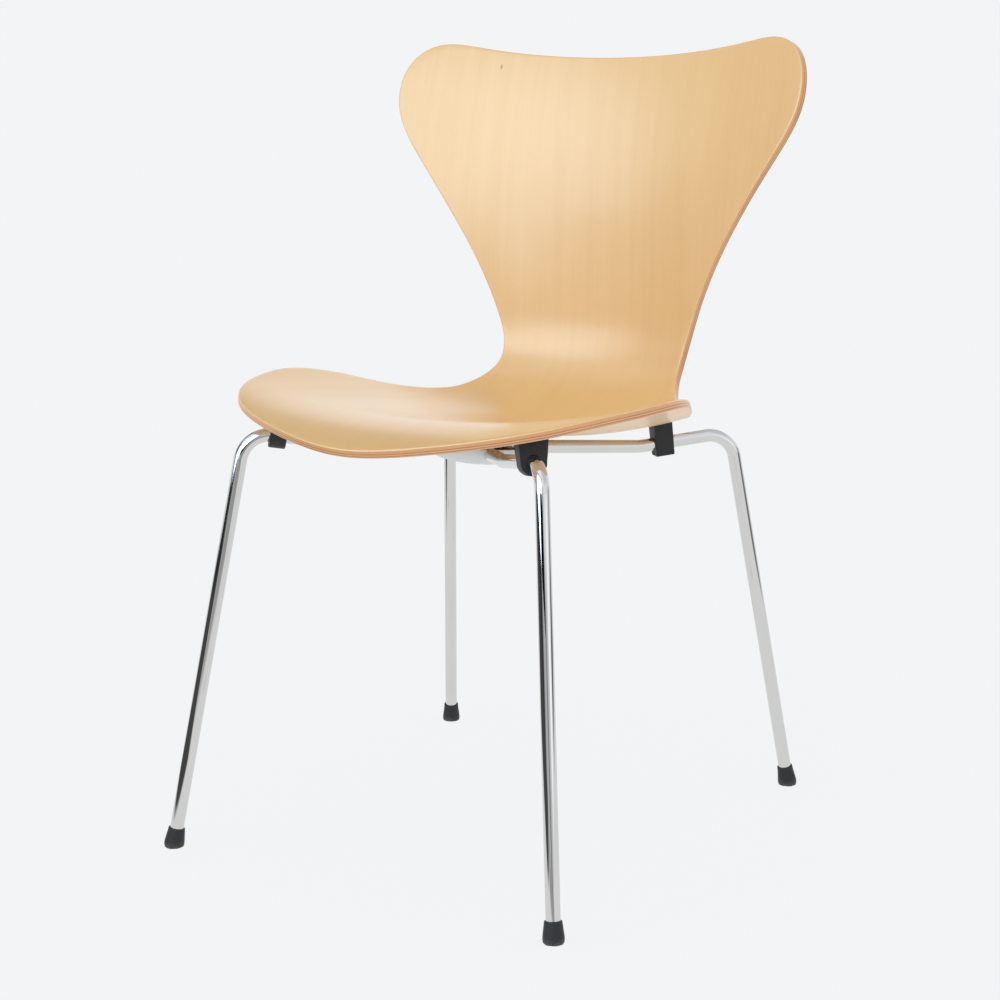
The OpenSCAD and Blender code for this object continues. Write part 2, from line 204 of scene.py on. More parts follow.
# ---------------------------------------------------------------------------
# Materials. Lengths in them are metres, except the depth below the sitter's
# face, which is in millimetres.
# ---------------------------------------------------------------------------
def srgb(*rgb):
    """Linear colour of an sRGB colour given as 0 to 255."""
    linear = [c / 255 for c in rgb]
    linear = [c / 12.92 if c <= 0.04045 else ((c + 0.055) / 1.055) ** 2.4 for c in linear]
    return (*linear, 1.0)


# Veneer from the dark to the light parts of its figure.
FACE_TONES = ((0.1, srgb(227, 183, 118)), (0.5, srgb(231, 188, 122)), (0.9, srgb(233, 192, 128)))
# The underside's tones are paler: a painted reflection of the white floor.
UNDER_SHEEN_TONES = ((0.1, srgb(233, 189, 142)), (0.5, srgb(237, 196, 150)), (0.9, srgb(241, 203, 158)))
# Under the seat the veneer is paler, a painted reflection of the white floor; it turns into the
# common tone over this stretch of s.
UNDER_SHEEN_ENDS = (0.55, 0.75)
FLECK_BROWN = srgb(186, 138, 88)
PLY_TAN, PLY_PALE = srgb(221, 159, 98), srgb(227, 173, 116)
GLUE_LINE, SOFT_LINE = srgb(142, 86, 45), srgb(190, 128, 76)
# The face veneers' pale colour, lightened as a painted highlight along the rounded edge.
RIM_VENEER_AND_HIGHLIGHT = srgb(240, 206, 158)
END_GRAIN_BROWN = srgb(178, 116, 68)
# Colours through the shell's edge, from the sitter's face (0) to the underside (1); the pale bands
# at both ends are the face veneers, lightened as a painted highlight of the rounded edge.
EDGE_PLIES = (
    (0.00, RIM_VENEER_AND_HIGHLIGHT), (0.10, RIM_VENEER_AND_HIGHLIGHT), (0.14, PLY_TAN), (0.44, PLY_TAN), (0.49, GLUE_LINE),
    (0.53, GLUE_LINE), (0.58, PLY_PALE), (0.68, PLY_PALE), (0.73, GLUE_LINE), (0.77, GLUE_LINE),
    (0.81, PLY_TAN), (0.87, PLY_TAN), (0.90, SOFT_LINE), (0.93, PLY_PALE), (1.00, RIM_VENEER_AND_HIGHLIGHT))
# The face veneer wraps this far over the rounded edge before the plies show, in millimetres.
EDGE_LIP = 0.5
# A pin knot near the top of the back: its place in millimetres, how its length along the
# grain is shortened when distances are measured, its radii and its colour.
KNOT_T, KNOT_S, KNOT_STRETCH = -139.0, 826.0, 0.4
KNOT_RIM, KNOT_CORE = 0.0016, 0.0006
KNOT_BROWN = srgb(132, 92, 56)
# How often the figure repeats per metre across and along the grain, from fine to broad.
FINE_GRAIN, MIDDLE_GRAIN, BROAD_GRAIN = (520, 14, 1), (70, 2.2, 1), (9, 1.1, 1)
FLECK_GRAIN, WANDER_GRAIN = (900, 150, 1), (5, 1.6, 1)
FINE_SHARE, MIDDLE_SHARE, BROAD_SHARE = 0.22, 0.38, 0.40
WANDER = 0.03
END_GRAIN = (700, 700, 700)

CHROME_WIPES = (60, 60, 14)
CHROME_LIGHT, CHROME_DARK = srgb(220, 219, 217), srgb(211, 210, 208)
FLOOR_DUST = srgb(120, 114, 106)
DUST_HEIGHT = 0.007
PAD_PLY = 0.0028
PAD_LIGHT, PAD_MIDDLE, PAD_DARK = srgb(222, 188, 142), srgb(198, 152, 104), srgb(150, 104, 64)
PAD_STREAK = srgb(178, 130, 84)
PAD_GRAIN = (500, 30, 500)


class Graph:
    """A node tree, with short calls that add nodes and link them."""

    def __init__(self, tree):
        self.tree = tree

    def set(self, socket, value):
        if isinstance(value, bpy.types.NodeSocket):
            self.tree.links.new(value, socket)
        else:
            socket.default_value = value

    def add(self, kind, inputs=None, **props):
        made = self.tree.nodes.new("ShaderNode" + kind)
        for key, value in props.items():
            setattr(made, key, value)
        for key, value in (inputs or {}).items():
            self.set(made.inputs[key], value)
        return made

    def math(self, operation, a, b=0.0):
        return self.add("Math", {0: a, 1: b}, operation=operation).outputs[0]

    def times(self, a, b):
        return self.math("MULTIPLY", a, b)

    def span(self, value, low, high, to_low=0.0, to_high=1.0):
        """A value mapped from low..high to to_low..to_high and held at the ends."""
        return self.add("MapRange", {"Value": value, "From Min": low, "From Max": high,
                                     "To Min": to_low, "To Max": to_high}).outputs[0]

    def ramp(self, value, stops, interpolation="LINEAR"):
        made = self.add("ValToRGB", {0: value})
        made.color_ramp.interpolation = interpolation
        elements = made.color_ramp.elements
        while len(elements) < len(stops):
            elements.new(0.5)
        for element, (place, colour) in zip(elements, stops):
            element.position = place
            element.color = colour
        return made.outputs[0]


class PieceMaterial(Graph):
    """A new material for a piece of the chair, and its node tree."""

    def __init__(self, name):
        self.material = bpy.data.materials.new(name)
        self.material.use_nodes = True
        super().__init__(self.material.node_tree)
        self.shader = next(n for n in self.tree.nodes if n.type == "BSDF_PRINCIPLED")

    def place(self):
        """The object's own coordinates."""
        return self.add("TexCoord").outputs["Object"]

    def mix(self, factor, a, b, blend="MIX"):
        made = self.tree.nodes.new("ShaderNodeMix")
        made.data_type = "RGBA"
        made.blend_type = blend
        self.set(made.inputs[0], factor)
        self.set(made.inputs[6], a)
        self.set(made.inputs[7], b)
        return made.outputs[2]

    def noise(self, vector, scale, detail=3.0, rough=0.5):
        made = self.add("TexNoise", {"Vector": vector, "Scale": scale, "Detail": detail,
                                     "Roughness": rough})
        return made.outputs["Fac"]

    def stretched(self, vector, scale, detail=3.0, rough=0.5):
        """Noise at its own scale along each axis."""
        mapped = self.add("Mapping", {"Vector": vector, "Scale": scale}).outputs[0]
        return self.noise(mapped, 1.0, detail, rough)

    def spread(self, noise, to_low=0.0, to_high=1.0):
        """Noise's usual range opened out to the given one."""
        return self.span(noise, 0.3, 0.7, to_low, to_high)

    def bump(self, height, strength, distance):
        made = self.add("Bump", {"Height": height, "Strength": strength, "Distance": distance})
        return made.outputs[0]

    def finish(self, **inputs):
        """Sets the shader's inputs, named with _ for a space, and gives the material."""
        for key, value in inputs.items():
            self.set(self.shader.inputs[key.replace("_", " ")], value)
        return self.material


def veneer_figure(n, at):
    """Colours of the sitter's face and of the underside, whose paler tones are a painted
    reflection of the white floor, and the fine grain.
    """
    centred = n.math("SUBTRACT", n.stretched(at, WANDER_GRAIN, 2.0), 0.5)
    sideways = n.add("CombineXYZ", {"X": n.times(centred, WANDER)}).outputs[0]
    warped = n.add("VectorMath", {0: at, 1: sideways}, operation="ADD").outputs[0]
    fine = n.stretched(warped, FINE_GRAIN, 4.0, 0.55)
    middle = n.stretched(warped, MIDDLE_GRAIN)
    broad = n.stretched(warped, BROAD_GRAIN, 2.0)
    shade = n.math("ADD", n.times(n.spread(fine), FINE_SHARE),
                   n.times(n.spread(middle), MIDDLE_SHARE))
    shade = n.math("ADD", shade, n.times(n.spread(broad), BROAD_SHARE))
    flecks = n.span(n.stretched(warped, FLECK_GRAIN, 1.0), 0.66, 0.74, 0.0, 0.10)
    return n.ramp(shade, FACE_TONES), n.ramp(shade, UNDER_SHEEN_TONES), fine, flecks


def veneer_material():
    """Clear-lacquered beech veneer with its grain along the shell, and bare plies on the edge.

    The mesh holds each point's s and t in metres and its depth below the sitter's face."""
    n = PieceMaterial("beech_veneer")
    at = n.add("Attribute", attribute_name="grain_at").outputs["Vector"]
    depth = n.add("Attribute", attribute_name="ply_depth").outputs["Fac"]
    place = n.place()

    face, under, fine, flecks = veneer_figure(n, at)
    along = n.add("SeparateXYZ", {0: at}).outputs["Y"]
    # Under the seat the paler tones paint in the white floor's reflection; they fade out up the
    # back.
    below = n.times(n.math("GREATER_THAN", depth, SHELL_T / 2),
                    n.span(along, *UNDER_SHEEN_ENDS, 1.0, 0.0))
    face = n.mix(below, face, under)
    face = n.mix(flecks, face, FLECK_BROWN)
    shortened = n.add("Mapping", {"Vector": at, "Scale": (1, KNOT_STRETCH, 1)}).outputs[0]
    knot = (KNOT_T * MM, KNOT_S * MM * KNOT_STRETCH, 0)
    away = n.add("VectorMath", {0: shortened, 1: knot}, operation="DISTANCE").outputs["Value"]
    face = n.mix(n.span(away, KNOT_RIM, KNOT_CORE, 0.0, 0.75), face, KNOT_BROWN)

    uneven = n.times(n.math("SUBTRACT", n.noise(place, 60.0, 2.0), 0.5), 0.5)
    level = n.math("DIVIDE", n.math("ADD", depth, uneven), SHELL_T)
    # The plies, with the painted highlight of the rounded edge at both faces.
    layers = n.ramp(level, EDGE_PLIES)
    patchy = n.span(n.noise(place, 16.0, 2.0), 0.38, 0.66, 0.0, 0.35)
    layers = n.mix(patchy, layers, PLY_TAN)
    end_grain = n.stretched(place, END_GRAIN)
    layers = n.mix(n.span(end_grain, 0.35, 0.75, 0.0, 0.16), layers, END_GRAIN_BROWN)
    on_edge = n.times(n.math("GREATER_THAN", depth, EDGE_LIP),
                      n.math("LESS_THAN", depth, SHELL_T - EDGE_LIP))

    colour = n.mix(on_edge, face, layers)
    rough = n.math("ADD", n.spread(fine, 0.44, 0.48), n.times(on_edge, 0.08))
    relief = n.math("ADD", n.times(fine, 0.6), n.times(end_grain, on_edge))
    return n.finish(Base_Color=colour, Roughness=rough, Normal=n.bump(relief, 0.05, 0.00008),
                    Specular_IOR_Level=0.8, Coat_Weight=0.55, Coat_Roughness=0.21,
                    Coat_IOR=1.6)


def chrome_material():
    """Bright chrome plate with faint wipe marks and a little unevenness from the bending."""
    n = PieceMaterial("bright_chrome")
    place = n.place()
    wipe = n.stretched(place, CHROME_WIPES, 4.0, 0.6)
    specks = n.span(n.noise(place, 900.0, 2.0), 0.70, 0.78, 0.0, 0.06)
    rough = n.math("ADD", n.span(wipe, 0.35, 0.7, 0.03, 0.07), specks)
    waves = n.noise(place, 30.0, 1.0)
    return n.finish(Base_Color=n.mix(wipe, CHROME_LIGHT, CHROME_DARK), Metallic=1.0,
                    Roughness=rough, Normal=n.bump(waves, 0.10, 0.0005))


def plastic_material(name, dark, light, rough, grain, scuff, floor_wear=0.0):
    """Moulded plastic with a fine spark-eroded texture, uneven sheen and rubbed edges."""
    n = PieceMaterial(name)
    place = n.place()
    cloud = n.noise(place, 55.0, 4.0, 0.6)
    texture = n.noise(place, 2600.0, 2.0)
    colour = n.mix(n.spread(cloud), dark, light)
    edge = n.add("NewGeometry").outputs["Pointiness"]
    rubbed = n.times(n.span(edge, 0.52, 0.60), n.span(cloud, 0.4, 0.6, 0.0, 0.45))
    colour = n.mix(rubbed, colour, scuff)
    if floor_wear:
        height = n.add("SeparateXYZ", {0: place}).outputs["Z"]
        dust = n.times(n.span(height, DUST_HEIGHT, 0.0, 0.0, floor_wear),
                       n.span(n.noise(place, 420.0), 0.35, 0.65))
        colour = n.mix(dust, colour, FLOOR_DUST)
    return n.finish(Base_Color=colour, Roughness=n.spread(cloud, rough - 0.07, rough + 0.07),
                    Normal=n.bump(texture, grain, 0.0001), IOR=1.49)


def plated_material(name, dark, light, rough):
    """Zinc-plated steel or brass, slightly clouded."""
    n = PieceMaterial(name)
    place = n.place()
    cloud = n.noise(place, 130.0, 5.0, 0.65)
    spangle = n.add("TexVoronoi", {"Vector": place, "Scale": 420.0}).outputs["Color"]
    tint = n.mix(n.spread(cloud), dark, light)
    tint = n.mix(0.06, tint, spangle, "OVERLAY")
    return n.finish(Base_Color=tint, Metallic=1.0,
                    Roughness=n.spread(cloud, rough - 0.08, rough + 0.10),
                    Normal=n.bump(cloud, 0.2, 0.0002))


def pad_material():
    """Birch plywood pad: plies lie square to the hub's axis and show on its round edge."""
    n = PieceMaterial("pad_birch")
    place = n.place()
    axis = (0, math.sin(HUB_TILT), math.cos(HUB_TILT))
    level = n.add("VectorMath", {0: place, 1: axis}, operation="DOT_PRODUCT").outputs["Value"]
    uneven = n.times(n.noise(place, 120.0, 2.0), 0.0003)
    ply = n.math("FRACT", n.math("DIVIDE", n.math("ADD", level, uneven), PAD_PLY))
    layers = n.ramp(ply, ((0.0, PAD_DARK), (0.06, PAD_LIGHT), (0.50, PAD_DARK),
                          (0.56, PAD_MIDDLE)), "CONSTANT")
    streak = n.stretched(place, PAD_GRAIN, 4.0)
    colour = n.mix(n.spread(streak, 0.0, 0.35), layers, PAD_STREAK)
    return n.finish(Base_Color=colour, Roughness=n.spread(streak, 0.5, 0.65),
                    Normal=n.bump(streak, 0.3, 0.0002))


# ---------------------------------------------------------------------------
# Seat shell
# ---------------------------------------------------------------------------
ROWS_PER_SPAN = 14
COLUMNS = 36
EDGE_ROUND = 1.7
ARC_STEPS = 4
WALL_STEPS = 5
# The underside shows another part of the same figure, this far away in metres.
UNDER_SHIFT = (0.37, 0.11, 0.5)


def inset_rim(rim):
    """The half outline moved inwards by the rounding of the edge, along the surface."""
    along = np.gradient(rim, axis=0)
    along[0] = (1, 0)
    along[-1] = (-1, 0)
    along /= np.linalg.norm(along, axis=1, keepdims=True)
    outward = np.stack([along[:, 1], -along[:, 0]], 1)
    stretch = np.sqrt(1 + (2 * sag(rim[:, 1]) * rim[:, 0]) ** 2)
    inner = rim - EDGE_ROUND * outward / np.stack([stretch, np.ones(len(rim))], 1)
    inner[0, 0] = 0.0
    inner[-1, 0] = 0.0
    return inner


def face_grid(inner):
    """One face of the shell: t, s, the faces, and its border once round from the front tip."""
    last = len(inner) - 1
    across = 2 * COLUMNS + 1
    share = np.arange(-COLUMNS, COLUMNS + 1) / COLUMNS
    spine = inner[0, 1] + (inner[last, 1] - inner[0, 1]) * np.arange(last + 1) / last
    past_spine = (inner[1:last, 1] - spine[1:last])[:, None]
    grid_t = inner[1:last, 0:1] * share[None, :]
    grid_s = spine[1:last, None] + past_spine * share[None, :] ** 2
    t = np.concatenate([grid_t.ravel(), [0, 0]])
    s = np.concatenate([grid_s.ravel(), [inner[0, 1], inner[last, 1]]])
    front_tip, top_tip = len(t) - 2, len(t) - 1

    faces = []
    for i in range(last - 2):
        for j in range(across - 1):
            corner = i * across + j
            faces.append((corner, corner + 1, corner + across + 1, corner + across))
    far_row = (last - 2) * across
    for j in range(across - 1):
        faces.append((front_tip, j + 1, j))
        faces.append((top_tip, far_row + j, far_row + j + 1))

    border = [front_tip] + [i * across + across - 1 for i in range(last - 1)]
    border += [top_tip] + [i * across for i in range(last - 2, -1, -1)]
    return t, s, faces, np.array(border)


def edge_rings(in_t, in_s, out_t, out_s):
    """Rings of points round the edge from the upper face to the lower, each with its depth."""
    top_in, normal = surface(in_s, in_t)
    low_in = surface(in_s, in_t, -SHELL_T)[0]
    top_out = surface(out_s, out_t)[0] - top_in
    low_out = surface(out_s, out_t, -SHELL_T)[0] - low_in
    upper, lower = [], []
    for step in range(1, ARC_STEPS + 1):
        angle = math.pi / 2 * step / ARC_STEPS
        drop = EDGE_ROUND * (1 - math.cos(angle))
        upper.append((top_in + top_out * math.sin(angle) - drop * normal, drop))
        lower.append((low_in + low_out * math.sin(angle) + drop * normal, SHELL_T - drop))
    lower.reverse()
    (above, high), (below, low) = upper[-1], lower[0]
    wall = [(above * (1 - u) + below * u, high * (1 - u) + low * u)
            for u in np.arange(1, WALL_STEPS) / WALL_STEPS]
    return upper + wall + lower


def build_shell(material):
    """The plywood shell with its rounded edge. Its points carry what the material reads."""
    rim = half_rim(ROWS_PER_SPAN)
    inner = inset_rim(rim)
    t, s, upper, border = face_grid(inner)
    count, last = len(t), len(rim) - 1

    # Once round the outline: front tip, right side, top tip, left side.
    rows = np.concatenate([np.arange(last + 1), np.arange(last - 1, 0, -1)])
    side = np.concatenate([np.ones(last + 1), -np.ones(last - 1)])
    around = len(rows)
    out_t, out_s = rim[rows, 0] * side, rim[rows, 1]
    rings = edge_rings(inner[rows, 0] * side, inner[rows, 1], out_t, out_s)

    chain = [border + count]
    chain += [ring_numbers(k, around, 2 * count) for k in reversed(range(len(rings)))]
    chain.append(border)
    lower = [tuple(k + count for k in reversed(face)) for face in upper]
    points = [surface(s, t)[0], surface(s, t, -SHELL_T)[0]] + [ring for ring, _ in rings]
    piece = make_piece("shell", np.concatenate(points), upper + lower + bands(chain),
                       material)

    flat = np.stack([t, s, np.zeros(count)], 1) * MM
    edge = np.stack([out_t, out_s, np.zeros(around)], 1) * MM
    grain = np.concatenate([flat, flat + UNDER_SHIFT] + [edge] * len(rings))
    depth = np.concatenate([np.zeros(count), np.full(count, SHELL_T)]
                           + [np.full(around, depth) for _, depth in rings])
    attributes = piece.data.attributes
    attributes.new("grain_at", "FLOAT_VECTOR", "POINT").data.foreach_set(
        "vector", grain.astype(np.float32).ravel())
    attributes.new("ply_depth", "FLOAT", "POINT").data.foreach_set(
        "value", depth.astype(np.float32))
    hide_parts("seat_shell")


# ---------------------------------------------------------------------------
# Tube frame. The tubes cross the hub in its plane, which falls to the rear.
# ---------------------------------------------------------------------------
TUBE_R = 7.0
BORE_R = 5.0
HUB_Y = -16.5
HUB_Z = 401.5
HUB_SLOPE = 0.056
HUB_TILT = math.atan(HUB_SLOPE)
FOOT_BASE = 4.5
DISC_T = 1.5
BEND_RADII = (0, 30, 60, 30, 60, 30, 0)
BEND_STEP = 3.0
STATION_GAP = 16.0
TUBE_SIDES = 48
FRONT_FOOT = np.array([228.0, -255.0, 0.0])
REAR_FOOT = np.array([228.0, 255.0, 0.0])
FRONT_CORNER = np.array([174.0, -189.0, 427.0])
REAR_CORNER = np.array([181.0, 187.0, 406.0])
FRONT_KINK, FRONT_APEX = (75, -98), (0, -28)
REAR_KINK, REAR_APEX = (111, 113), (0, -5)


def on_hub(place):
    """A place in plan, lifted to the hub's plane."""
    return np.array([place[0], place[1], HUB_Z - HUB_SLOPE * (place[1] - HUB_Y)], float)


def mirror_x(p):
    return np.array([-p[0], p[1], p[2]], float)


def tube_path(foot, corner, kink, apex):
    """Corners of a tube's centre line from the left foot to the right one."""
    start = foot + (FOOT_BASE + DISC_T) * unit(corner - foot)
    half = [start, corner, on_hub(kink)]
    return half + [on_hub(apex)] + [mirror_x(p) for p in reversed(half)]


FRONT_PATH = tube_path(FRONT_FOOT, FRONT_CORNER, FRONT_KINK, FRONT_APEX)
REAR_PATH = tube_path(REAR_FOOT, REAR_CORNER, REAR_KINK, REAR_APEX)


def stations(path):
    """Places and directions along a path with its bends rounded."""
    found = [(path[0], unit(path[1] - path[0]))]
    for i in range(1, len(path) - 1):
        before, after = unit(path[i] - path[i - 1]), unit(path[i + 1] - path[i])
        turn = math.acos(np.clip(before @ after, -1, 1))
        inward = unit(after - (before @ after) * before)
        radius = BEND_RADII[i]
        centre = path[i] - before * radius * math.tan(turn / 2) + radius * inward
        steps = max(2, math.ceil(math.degrees(turn) / BEND_STEP))
        for k in range(steps + 1):
            a = turn * k / steps
            found.append((centre - radius * math.cos(a) * inward + radius * math.sin(a) * before,
                          math.cos(a) * before + math.sin(a) * inward))
    found.append((path[-1], unit(path[-1] - path[-2])))
    filled = [found[0]]
    for here in found[1:]:
        base = filled[-1]
        extra = int(np.linalg.norm(here[0] - base[0]) // STATION_GAP)
        for k in range(1, extra + 1):
            u = k / (extra + 1)
            filled.append((base[0] * (1 - u) + here[0] * u,
                           unit(base[1] * (1 - u) + here[1] * u)))
        filled.append(here)
    return filled


def build_tube(name, path, node, material):
    """A bent tube with its wall and bore."""
    path_stations = stations(path)
    side = np.array([1.0, 0, 0])
    outer, inner = [], []
    for place, direction in path_stations:
        side = unit(side - (side @ direction) * direction)
        other = np.cross(direction, side)
        for k in range(TUBE_SIDES):
            a = 2 * math.pi * k / TUBE_SIDES
            spoke = math.cos(a) * side + math.sin(a) * other
            outer.append(place + TUBE_R * spoke)
            inner.append(place + BORE_R * spoke)
    rows = range(len(path_stations))
    outside = [ring_numbers(i, TUBE_SIDES) for i in rows]
    inside = [ring_numbers(i, TUBE_SIDES, len(outer)) for i in reversed(rows)]
    faces = bands(outside + inside + outside[:1])
    piece = make_piece(name, outer + inner, faces, material, 40)
    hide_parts(node)


# ---------------------------------------------------------------------------
# Feet
# ---------------------------------------------------------------------------
FRONT_FOOT_H, REAR_FOOT_H = 20.0, 22.5
FOOT_SIDES = 64


def foot_profile(height):
    """Half section of a foot from the sole's rim up and down into the bore: [radius, height]."""
    return (
        (7.0, -4.0), (8.3, -2.6), (9.2, -1.2), (9.8, 0.2), (10.15, 1.7), (10.3, 3.4),
        (10.22, 5.2), (10.0, 7.2), (9.65, 9.8), (9.3, 12.6), (8.9, 15.6), (8.62, 17.8),
        (8.5, height - 1.2), (8.42, height - 0.6), (8.2, height - 0.2), (7.9, height),
        (7.25, height), (7.02, height - 0.2), (7.02, height - 3), (7.02, 4.6), (6.6, 4.5),
    )


def build_foot(name, node, foot, corner, height, material):
    """A tapered foot, turned about the leg's line and cut flat by the floor."""
    axis = unit(corner - foot)
    side = unit(np.cross((0, 0, 1.0), axis))
    other = np.cross(axis, side)
    points = []
    profile = foot_profile(height)
    for radius, level in profile:
        for k in range(FOOT_SIDES):
            a = 2 * math.pi * k / FOOT_SIDES
            p = foot + level * axis + radius * (math.cos(a) * side + math.sin(a) * other)
            if p[2] < 0:
                p = p - axis * (p[2] / axis[2])
            points.append(p)
    rings = [ring_numbers(i, FOOT_SIDES) for i in range(len(profile))]
    faces = bands(rings) + [rings[0][::-1], rings[-1]]
    piece = make_piece(name, points, faces, material, 35)
    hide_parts(node)


# ---------------------------------------------------------------------------
# Bumpers. A block is drawn in its tube's cross-section: u sideways, h upwards,
# with the tube's centre at 0, 0. "at" is its distance from the tube's corner.
# ---------------------------------------------------------------------------
REAR_BUMPER = {"at": 77.0, "length": 20.0}
FRONT_BUMPER = {"at": 33.0, "length": 16.6}
BUMPER_CLEAR = 0.6
BUMPER_ROUND = 0.9
BUMPER_CORNER = 1.4
BUMPER_BORE = TUBE_R + 0.03
SLIT = 2.5
FRONT_R, FRONT_TOP_HALF = 12.9, 14.2
FRONT_FLANK = ((12.72, -0.6), (12.95, 2.0), (13.4, 6.0))
REAR_HALF, REAR_TOP_HALF, REAR_DROP, REAR_LOW_CORNER = 9.0, 9.5, 13.0, 2.0
REAR_FLANK = ((REAR_HALF + 0.1, -5.0), (REAR_HALF + 0.3, 2.0))
ROUND_ANGLES = np.radians([0, 22.5, 45, 67.5, 90])
# How often the two solvers repeat, their step in millimetres, and the first guess of a
# bumper's top. Only the first cells of the centre line are searched: the seat's.
SOLVE_TIMES = 8
NUDGE = 0.5
FIRST_TOP = 12.0
SEAT_CELLS = 60


def seat_underside(x, y, off):
    """Heights of the shell's face, moved off along the normal, above places in plan."""
    s, t = np.interp(y, LINE_Y[:SEAT_CELLS], np.arange(SEAT_CELLS) * STEP_S), np.array(x, float)
    for _ in range(SOLVE_TIMES):
        here = surface(s, t, off)[0]
        ds = (surface(s + NUDGE, t, off)[0] - here) / NUDGE
        dt = (surface(s, t + NUDGE, off)[0] - here) / NUDGE
        miss_x, miss_y = x - here[..., 0], y - here[..., 1]
        area = ds[..., 0] * dt[..., 1] - dt[..., 0] * ds[..., 1]
        s = s + (miss_x * dt[..., 1] - dt[..., 0] * miss_y) / area
        t = t + (ds[..., 0] * miss_y - miss_x * ds[..., 1]) / area
    return surface(s, t, off)[0][..., 2]


def outward_of(outline):
    """Outward directions at the points of a closed outline that runs anticlockwise."""
    ahead, behind = np.roll(outline, -1, 0) - outline, outline - np.roll(outline, 1, 0)
    tangent = ahead / np.linalg.norm(ahead, axis=1, keepdims=True)
    tangent += behind / np.linalg.norm(behind, axis=1, keepdims=True)
    tangent /= np.linalg.norm(tangent, axis=1, keepdims=True)
    return np.stack([tangent[:, 1], -tangent[:, 0]], 1)


def bumper_slices(length):
    """Slices along a block as rows of [place, inset]; its ends are rounded over."""
    half = length / 2
    end = [(-half + BUMPER_ROUND * (1 - math.cos(a)), BUMPER_ROUND * (1 - math.sin(a)))
           for a in ROUND_ANGLES]
    middle = [(place, 0.0) for place in (-half / 2, 0.0, half / 2)]
    return np.array(end + middle + [(-place, inset) for place, inset in reversed(end)])


def build_bumper(name, node, path, size, section, mirrored, material):
    """A block along a tube; section gives (u, h, drop) round the block and its bore.

    Points with a drop lie that far below the seat's underside instead of at h."""
    corner, inward = path[1], unit(path[2] - path[1])
    x = unit(np.cross((0, 0, 1.0), inward))
    y = np.cross(inward, x)
    middle = corner + size["at"] * inward

    outline = np.array([(u, h) for u, h, _ in section], float)
    outward = outward_of(outline)
    slices = bumper_slices(size["length"])
    outside = np.linalg.norm(outline, axis=1) > TUBE_R + 0.1
    inset = slices[:, 1:2] * outside
    u = outline[None, :, 0] - outward[None, :, 0] * inset
    h = outline[None, :, 1] - outward[None, :, 1] * inset
    follows = np.array([drop is not None for _, _, drop in section])
    drops = np.array([drop or 0.0 for _, _, drop in section])

    base = middle + u[..., None] * x + slices[:, 0, None, None] * inward
    top = np.full(u.shape, FIRST_TOP)
    for _ in range(SOLVE_TIMES):
        p = base + top[..., None] * y
        top += (seat_underside(p[..., 0], p[..., 1], -SHELL_T - BUMPER_CLEAR) - p[..., 2]) / y[2]
    h = np.where(follows, top - drops - inset, h)
    points = (base + h[..., None] * y).reshape(-1, 3)

    rings = [ring_numbers(i, len(section)) for i in range(len(slices))]
    faces = bands(rings) + [rings[0][::-1], rings[-1]]
    if mirrored:
        points = points * (-1, 1, 1)
    else:
        faces = [face[::-1] for face in faces]
    piece = make_piece(name, points, faces, material, 38)
    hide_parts(node)


def flipped(points):
    """The left half of an outline, from its right half."""
    return [(-u, h, drop) for u, h, drop in reversed(points)]


def top_points(half):
    """The top of a bumper, right to left, with rounded corners; the third value is the drop."""
    flat_half = half - BUMPER_CORNER
    corner = [(flat_half + BUMPER_CORNER * math.cos(a), 0, BUMPER_CORNER * (1 - math.sin(a)))
              for a in ROUND_ANGLES]
    middle = [(u, 0, 0.0) for u in np.linspace(flat_half, -flat_half, 9)[1:-1]]
    return corner + middle + flipped(corner)


def half_slit(radius):
    """Half the angle in degrees that the slit takes from a circle."""
    return math.degrees(math.asin(SLIT / 2 / radius))


def bore_points():
    """The bore for the tube, open to the slit at the bottom."""
    edge = half_slit(TUBE_R)
    return [(u, h, None) for u, h in arc(BUMPER_BORE, -90 - edge, -450 + edge, 40)]


def front_outline():
    """A front bumper: round below and widening to the top."""
    right = [(u, h, None) for u, h in arc(FRONT_R, -90 + half_slit(FRONT_R), -12, 18)]
    right += [(u, h, None) for u, h in FRONT_FLANK]
    return right + top_points(FRONT_TOP_HALF) + flipped(right) + bore_points()


def rear_outline():
    """A rear bumper: a block with rounded lower corners."""
    low_half, low = REAR_HALF - REAR_LOW_CORNER, REAR_LOW_CORNER - REAR_DROP
    right = [(SLIT / 2, -REAR_DROP, None), (low_half, -REAR_DROP, None)]
    right += [(low_half + u, low + h, None) for u, h in arc(REAR_LOW_CORNER, -67.5, 0, 3)]
    right += [(u, h, None) for u, h in REAR_FLANK]
    return right + top_points(REAR_TOP_HALF) + flipped(right) + bore_points()


# ---------------------------------------------------------------------------
# Cover under the hub: an elliptical dish with a ring inside that reaches up to
# the tubes.
# ---------------------------------------------------------------------------
COVER_R = 63.0
COVER_DEPTH = 16.2
COVER_RIM_Z = 5.0
COVER_WALL = 2.0
COVER_SIDES = 160
BOWL_STEPS = 30
COVER_RING_R = 40.0
# The rim as (inwards from the outside, down from the top).
COVER_RIM = ((0.0, 0.8), (0.25, 0.2), (0.8, 0.0), (COVER_WALL - 0.5, 0.0), (COVER_WALL, 0.5))
SLOT_R = 7.8
SLOT_TOP = 16.0
SLOT_OVERLAP = 6.0


def bowl_profile(inset):
    """Half section of the dish from its centre to its rim: an elliptical bowl."""
    top = COVER_RIM_Z - 1.0
    rise = COVER_DEPTH + top - inset
    return [((COVER_R - inset) * math.sin(a), top - rise * math.cos(a))
            for a in np.radians(np.linspace(0, 90, BOWL_STEPS + 1))[1:]]


